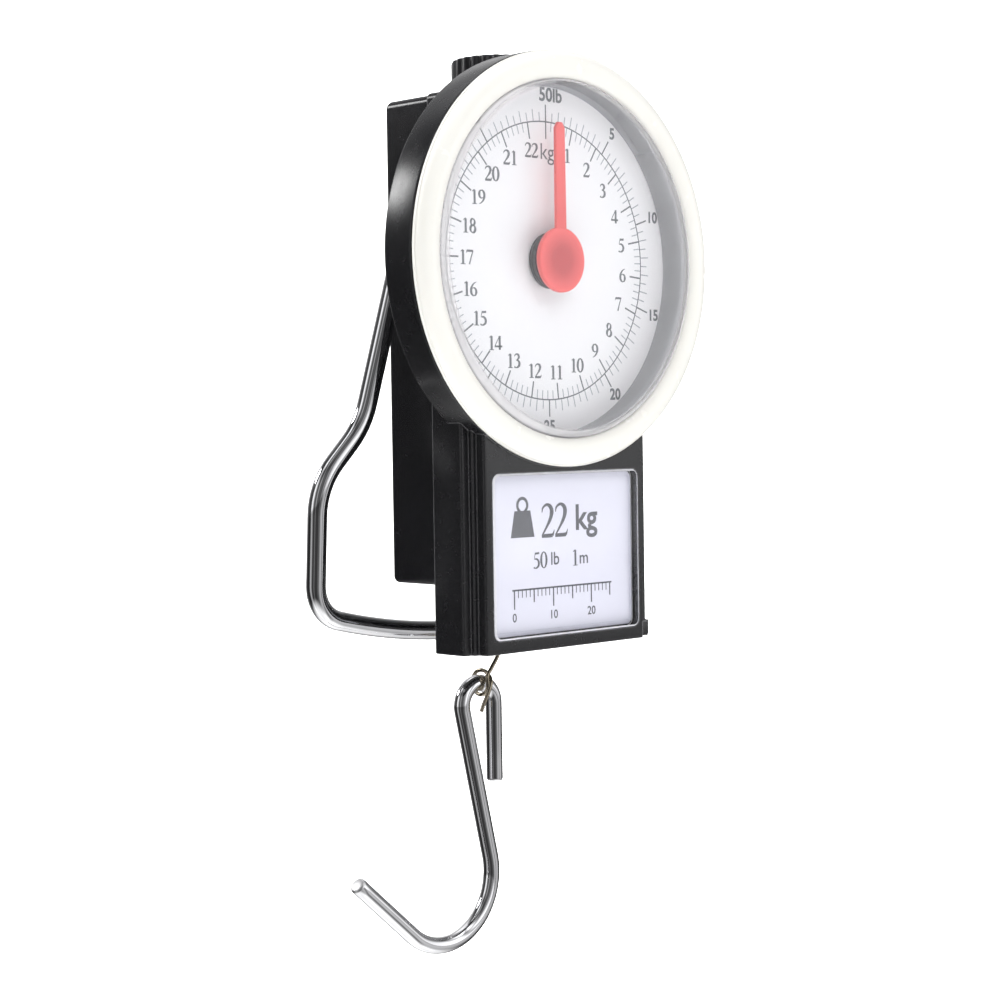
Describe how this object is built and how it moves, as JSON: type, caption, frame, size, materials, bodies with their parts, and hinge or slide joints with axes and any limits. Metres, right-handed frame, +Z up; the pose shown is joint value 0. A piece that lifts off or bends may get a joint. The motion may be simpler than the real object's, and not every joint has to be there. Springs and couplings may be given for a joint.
{
  "type": "hanging spring scale",
  "caption": "Pocket hanging scale: round dial in a stepped plastic case, folding wire handle, S hook on a swivelling link, rotary zero knob and pull-out tape measure.",
  "frame": {"origin": "where the dial axis meets the flat back face of the rear case", "axes": "+X to the right of the dial as read, +Y out of the back of the case along the dial axis, +Z up towards the zero knob; the hook hangs along -Z"},
  "size_m": [0.0836, 0.0307, 0.1652],
  "materials": {
    "case_black": "black moulded ABS, satin gloss",
    "bezel_white": "warm white moulded ABS, gloss",
    "clear_plastic": "clear polystyrene, polished",
    "dial_print": "white printed styrene",
    "card": "printed card",
    "pressed_steel": "zinc plated pressed steel",
    "screw_steel": "zinc plated",
    "brass": "turned brass",
    "acetal": "natural acetal",
    "pointer_red": "translucent red styrene",
    "hub_dark": "dark moulded plastic",
    "spring_steel": "bright spring steel",
    "power_spring_steel": "blued spring steel strip",
    "chrome_wire": "chrome plated steel wire",
    "link_steel": "plated steel wire, lightly tarnished",
    "tape": "lacquered steel tape"
  },
  "bodies": {
    "case": {"front_case": "case_black", "rear_case": "case_black", "bezel_ring": "bezel_white", "dial_lens": "clear_plastic", "dial_plate": "dial_print", "label_card": "card", "label_window": "clear_plastic", "chassis_plate": "pressed_steel", "case_screws": "screw_steel", "chassis_screws": "screw_steel", "front_bush": "brass", "rear_bush": "brass", "rack_guide": "acetal", "thrust_washer": "brass", "tape_cover": "case_black", "tape_cover_screws": "screw_steel", "reel_axle": "screw_steel", "tape_power_spring": "power_spring_steel"},
    "draw_bar": {"rack_bar": "pressed_steel", "spring_left": "spring_steel", "spring_right": "spring_steel"},
    "pointer": {"pointer": "pointer_red", "pointer_hub": "hub_dark", "pointer_shaft": "screw_steel", "pinion": "brass"},
    "link": {"link_wire": "link_steel"},
    "hook": {"s_hook": "chrome_wire"},
    "handle": {"handle": "chrome_wire"},
    "zero_knob": {"zero_knob": "case_black", "zero_screw": "screw_steel"},
    "zero_anchor": {"spring_anchor": "pressed_steel", "zero_nut": "brass"},
    "tape": {"tape_tab": "case_black", "tape_blade": "tape", "tab_rivets": "screw_steel"},
    "reel": {"tape_reel": "acetal", "tape_coil": "tape"}
  },
  "joints": [
    {"name": "load_travel", "type": "slide", "parent": "case", "child": "draw_bar", "axis": [0, 0, -1], "range_m": [0, 0.01256], "stiffness_N_per_m": 17700, "deforming": ["spring_left", "spring_right"]},
    {"name": "pointer_turn", "type": "hinge", "parent": "case", "child": "pointer", "pos_m": [0, 0, 0], "axis": [0, 1, 0], "range_deg": [0, 360]},
    {"name": "link_swing", "type": "hinge", "parent": "draw_bar", "child": "link", "pos_m": [0, -0.0066, -0.0387], "axis": [0, 1, 0], "range_deg": [-5, 5]},
    {"name": "hook_swing", "type": "hinge", "parent": "link", "child": "hook", "pos_m": [-0.0044, -0.0043, -0.078], "axis": [1, 0, 0], "range_deg": [-45, 45]},
    {"name": "handle_fold", "type": "hinge", "parent": "case", "child": "handle", "pos_m": [0, -0.0066, 0.0015], "axis": [1, 0, 0], "range_deg": [-4, 180]},
    {"name": "zero_turn", "type": "hinge", "parent": "case", "child": "zero_knob", "pos_m": [0, -0.0066, 0.0295], "axis": [0, 0, 1], "range_deg": [-722, 722]},
    {"name": "zero_lift", "type": "slide", "parent": "case", "child": "zero_anchor", "axis": [0, 0, 1], "range_m": [-0.001, 0.001]},
    {"name": "tape_pull", "type": "slide", "parent": "case", "child": "tape", "axis": [1, 0, 0], "range_m": [0, 1]},
    {"name": "reel_turn", "type": "hinge", "parent": "case", "child": "reel", "pos_m": [0, -0.0172, -0.0553], "axis": [0, 1, 0], "range_deg": [-5796, 0]}
  ],
  "couplings": [
    {"joint": "pointer_turn", "follows": "load_travel", "rad_per_m": 500},
    {"joint": "zero_turn", "follows": "zero_lift", "rad_per_m": -12566},
    {"joint": "reel_turn", "follows": "tape_pull", "rad_per_m": -101.01}
  ]
}
